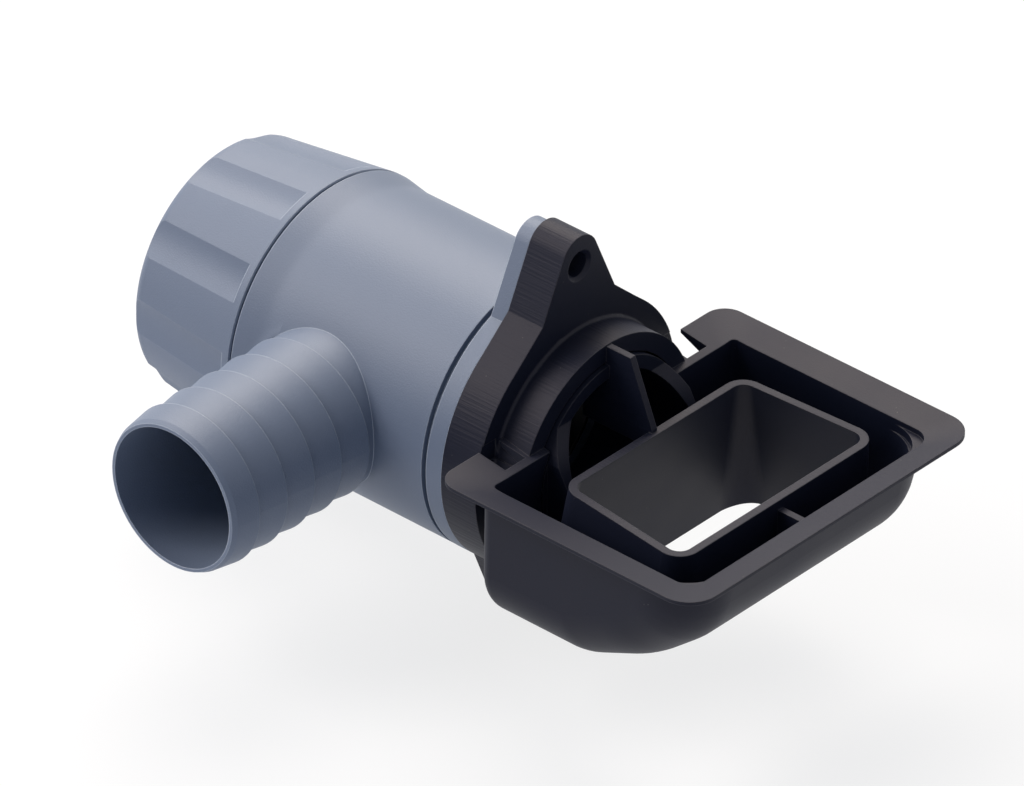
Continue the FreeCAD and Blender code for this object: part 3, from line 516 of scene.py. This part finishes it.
def matt_paper():
    """Paper, with a glow that takes a share of the rays that the picture sees.

    The share is GLOW_NEAR up to GLOW_FROM metres from the object, and rises to 1 at GLOW_FULL.
    """
    made, tree, output = blank("matt_white_paper")
    place = add(tree, "ShaderNodeTexCoord").outputs["Object"]
    fibre = add(tree, "ShaderNodeTexNoise", inputs={
        "Vector": place, "Scale": per_metre(PAPER_FIBRE), "Detail": 2.0})
    gloss = add(tree, "ShaderNodeMapRange", inputs={
        "Value": fibre.outputs["Fac"], "To Min": MATT[0], "To Max": MATT[1]})
    seen = seen_by_picture(tree)
    colour = add(tree, "ShaderNodeMix", {"data_type": "RGBA"}, {
        "Factor": seen.outputs[0],
        A_COLOUR: linear(PAPER_BOUNCE), B_COLOUR: linear(PAPER_WHITE)})
    skin = add(tree, "ShaderNodeBsdfPrincipled", inputs={
        "Base Color": colour.outputs[MIXED_COLOUR], "Roughness": gloss.outputs["Result"],
        "IOR": 1.3})
    glow = add(tree, "ShaderNodeEmission", inputs={"Color": WHITE, "Strength": 1.0})
    away = add(tree, "ShaderNodeVectorMath", {"operation": "DISTANCE"}, {
        0: place, 1: (SUBJECT.x, SUBJECT.y, solid_low[2])})
    rising = add(tree, "ShaderNodeMapRange", inputs={
        "Value": away.outputs["Value"], "From Min": GLOW_FROM, "From Max": GLOW_FULL,
        "To Min": GLOW_NEAR, "To Max": 1.0})
    share = add(tree, "ShaderNodeMath", {"operation": "MULTIPLY"}, {
        0: seen.outputs[0], 1: rising.outputs["Result"]})
    surface = add(tree, "ShaderNodeMixShader", inputs={
        0: share.outputs[0], 1: skin.outputs[0], 2: glow.outputs[0]})
    tree.links.new(surface.outputs[0], output.inputs["Surface"])
    return made


table.data.materials.append(matt_paper())
print("made", table.data.materials[0].name)

# %% [markdown]
# ## Light
# The light is that of a small product studio. One wide, warm softbox hangs high behind the object,
# so every face that looks up mirrors it: it makes the sheen on the black rim and the band along
# the housing. A second one stands on the left, beside the hose tail, and lights the knob and the
# side of the plate. The world fills the shade with a weak cool light, which leaves the low sides
# bluer than the tops.

# %% Softboxes
SOFTBOX_DISTANCE = 1.1
KEY_TOWARDS = (-0.46, 0.40, 0.79)
KEY_WIDTH = 0.85
KEY_POWER = 14.0
KEY_COLOUR = "#FFF7EE"
SIDE_TOWARDS = (-0.56, -0.5, 0.6)
SIDE_WIDTH = 0.65
SIDE_POWER = 7.8
SIDE_COLOUR = "#FFF9F5"


def softbox(name, towards, width, power, hex_value):
    """A square area lamp at SOFTBOX_DISTANCE in the direction towards, which faces the object."""
    lamp = bpy.data.lights.new(name, "AREA")
    lamp.size = width
    lamp.energy = power
    lamp.color = linear(hex_value)[:3]
    made = bpy.data.objects.new(name, lamp)
    way = Vector(towards).normalized()
    made.location = SUBJECT + way * SOFTBOX_DISTANCE
    made.rotation_euler = way.to_track_quat("Z", "Y").to_euler()
    bpy.context.scene.collection.objects.link(made)
    print(name, "at", [round(c, 2) for c in made.location])


softbox("key_softbox", KEY_TOWARDS, KEY_WIDTH, KEY_POWER, KEY_COLOUR)
softbox("side_softbox", SIDE_TOWARDS, SIDE_WIDTH, SIDE_POWER, SIDE_COLOUR)

# %% World
FILL_COLOUR = "#D4E2FF"
FILL_STRENGTH = 0.25

world = bpy.data.worlds.new("studio_world")
bpy.context.scene.world = world
world.use_nodes = True
sky = world.node_tree
sky.nodes.clear()
fill = add(sky, "ShaderNodeBackground", inputs={
    "Color": linear(FILL_COLOUR), "Strength": FILL_STRENGTH})
backdrop = add(sky, "ShaderNodeBackground", inputs={"Color": WHITE, "Strength": 1.0})
around = add(sky, "ShaderNodeMixShader", inputs={
    0: seen_by_picture(sky).outputs[0], 1: fill.outputs[0], 2: backdrop.outputs[0]})
add(sky, "ShaderNodeOutputWorld", inputs={"Surface": around.outputs[0]})
print("made", world.name)

# %% [markdown]
# ## Camera
# A long lens from 2.5 metres keeps the edges almost parallel. Its place comes from two angles, a
# small roll and the point that lies in the middle of the picture, counted from where the hose
# tail's axis meets the housing's. The distances were measured in a picture 1024 pixels wide, and
# the width of the hose tail gives their scale.

# %% Camera
CAMERA_AZIMUTH = math.radians(41.17)
CAMERA_ELEVATION = math.radians(33.55)
CAMERA_ROLL = math.radians(0.90)
PICTURE_WIDTH = 1024
PIXELS_PER_MM = 5.25
PIXEL = MM / PIXELS_PER_MM
DISTANCE = 13342 * PIXEL
HOSE_TAIL_X = mounts["hose_tail"]["pos_m"][0]
RIGHT_OF_TAIL = 99.67 * PIXEL
ABOVE_TAIL = -39.98 * PIXEL
SENSOR = 36.0

back = Vector((math.sin(CAMERA_AZIMUTH) * math.cos(CAMERA_ELEVATION),
               -math.cos(CAMERA_AZIMUTH) * math.cos(CAMERA_ELEVATION),
               math.sin(CAMERA_ELEVATION)))
level = Vector((math.cos(CAMERA_AZIMUTH), math.sin(CAMERA_AZIMUTH), 0.0))
upright = back.cross(level)
right = math.cos(CAMERA_ROLL) * level + math.sin(CAMERA_ROLL) * upright
up = -math.sin(CAMERA_ROLL) * level + math.cos(CAMERA_ROLL) * upright
aim = Vector((HOSE_TAIL_X, 0.0, 0.0)) + right * RIGHT_OF_TAIL + up * ABOVE_TAIL
lens = bpy.data.cameras.new("camera")
lens.sensor_fit = "HORIZONTAL"
lens.sensor_width = SENSOR
lens.lens = SENSOR * DISTANCE / (PICTURE_WIDTH * PIXEL)
lens.clip_start = 0.1
lens.clip_end = 20.0
camera = bpy.data.objects.new("camera", lens)
turn = Matrix((right, up, back)).transposed().to_4x4()
camera.matrix_world = Matrix.Translation(aim + back * DISTANCE) @ turn
bpy.context.scene.collection.objects.link(camera)
bpy.context.scene.camera = camera
bpy.context.scene.view_settings.view_transform = "Standard"
print("lens in mm:", round(lens.lens, 1))
